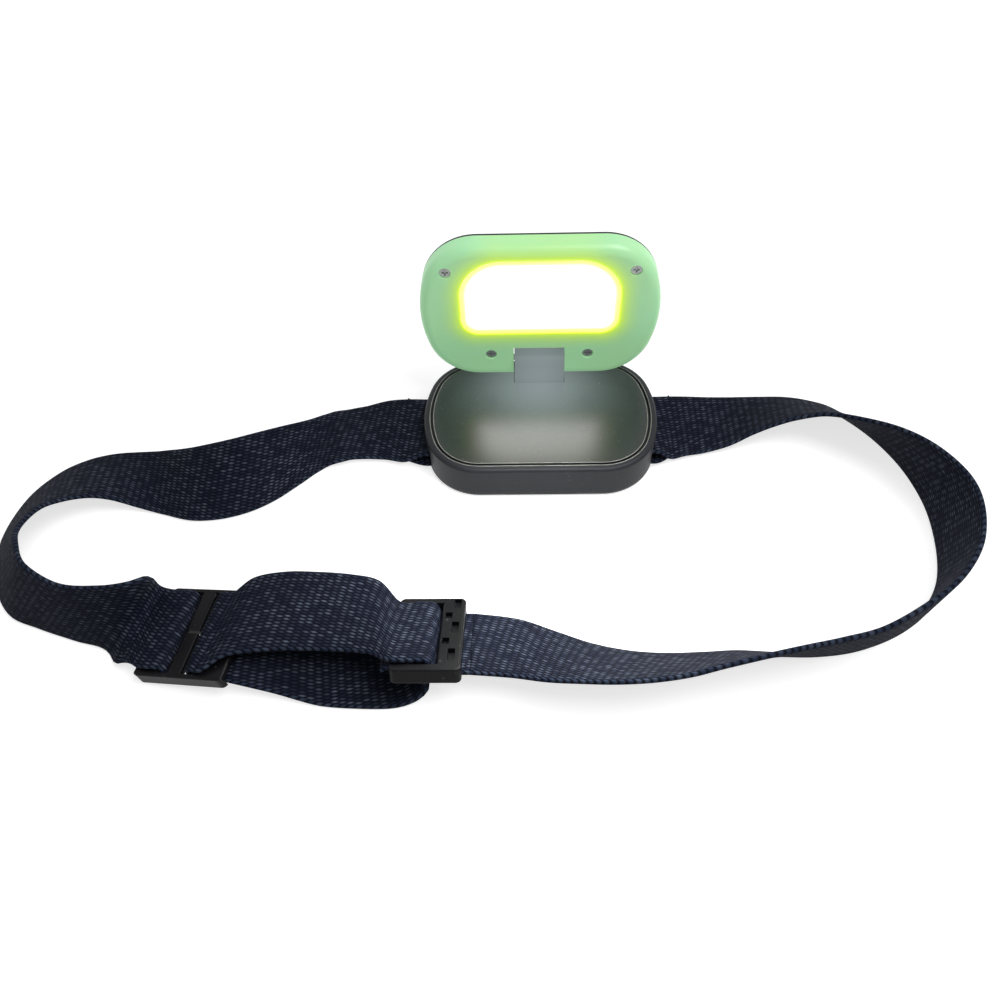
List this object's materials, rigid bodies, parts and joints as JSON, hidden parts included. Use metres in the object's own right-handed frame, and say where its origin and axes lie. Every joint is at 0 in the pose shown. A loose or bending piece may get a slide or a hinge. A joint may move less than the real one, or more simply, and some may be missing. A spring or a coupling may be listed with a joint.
{
  "type": "headlamp",
  "caption": "Folding headlamp: a flat lamp case on a webbing head strap with two buckles and a hinged light panel that folds open.",
  "frame": {"origin": "centre of the lamp case's rear face, the face that rests on the wearer's forehead or on a table", "axes": "+X to the right along the case's length and the hinge, +Y from the case's free edge to its hinge edge, +Z out of the case's front face"},
  "size_m": [0.2849, 0.1231, 0.063],
  "materials": {
    "case_black": "fine-textured black plastic, semi-matt",
    "face_black": "smoother dark plastic with a soft sheen",
    "bezel_green": "translucent pale green plastic, softly lit from inside",
    "lens_clear": "lit diffuser window, white",
    "phosphor_yellow": "yellow phosphor layer",
    "board_white": "white solder mask",
    "board_green": "green solder mask",
    "spreader": "bare sheet",
    "button_rubber": "soft matt",
    "steel": "plain bright steel",
    "cell_sleeve": "plain printed-film sleeve without marks",
    "buckle_black": "moulded black plastic",
    "webbing": "woven elastic webbing, dark navy-black",
    "switch_black": "small moulded switch"
  },
  "bodies": {
    "case": {"base_shell": "case_black", "face_plate": "face_black", "contact_springs": "steel", "contact_plate_left": "steel", "contact_plate_right": "steel", "strap_pins": "steel", "hinge_pin": "steel", "connector_buckle": "buckle_black", "adjuster_buckle": "buckle_black", "strap_left": "webbing", "strap_right": "webbing", "strap_upper": "webbing", "strap_lower": "webbing", "battery_cell_1": "cell_sleeve", "battery_cell_2": "cell_sleeve", "battery_cell_3": "cell_sleeve"},
    "panel": {"light_bezel": "bezel_green", "light_lens": "lens_clear", "light_phosphor": "phosphor_yellow", "light_board": "board_white", "heat_spreader": "spreader", "driver_board": "board_green", "switch_body": "switch_black", "panel_rear": "case_black", "panel_screws": "steel"},
    "button": {"push_button": "button_rubber"},
    "cover": {"rear_cover": "case_black"}
  },
  "joints": [
    {"name": "panel_hinge", "type": "hinge", "parent": "case", "child": "panel", "pos_m": [0, 0.0202, 0.0182], "axis": [-1, 0, 0], "range_deg": [-90, 90]},
    {"name": "button_press", "type": "slide", "parent": "panel", "child": "button", "axis": [0, -1, 0], "range_m": [0, 0.0004], "stiffness_N_per_m": 2000},
    {"name": "cover_off", "type": "slide", "parent": "case", "child": "cover", "axis": [0, 0, -1], "range_m": [0, 0.015]}
  ]
}
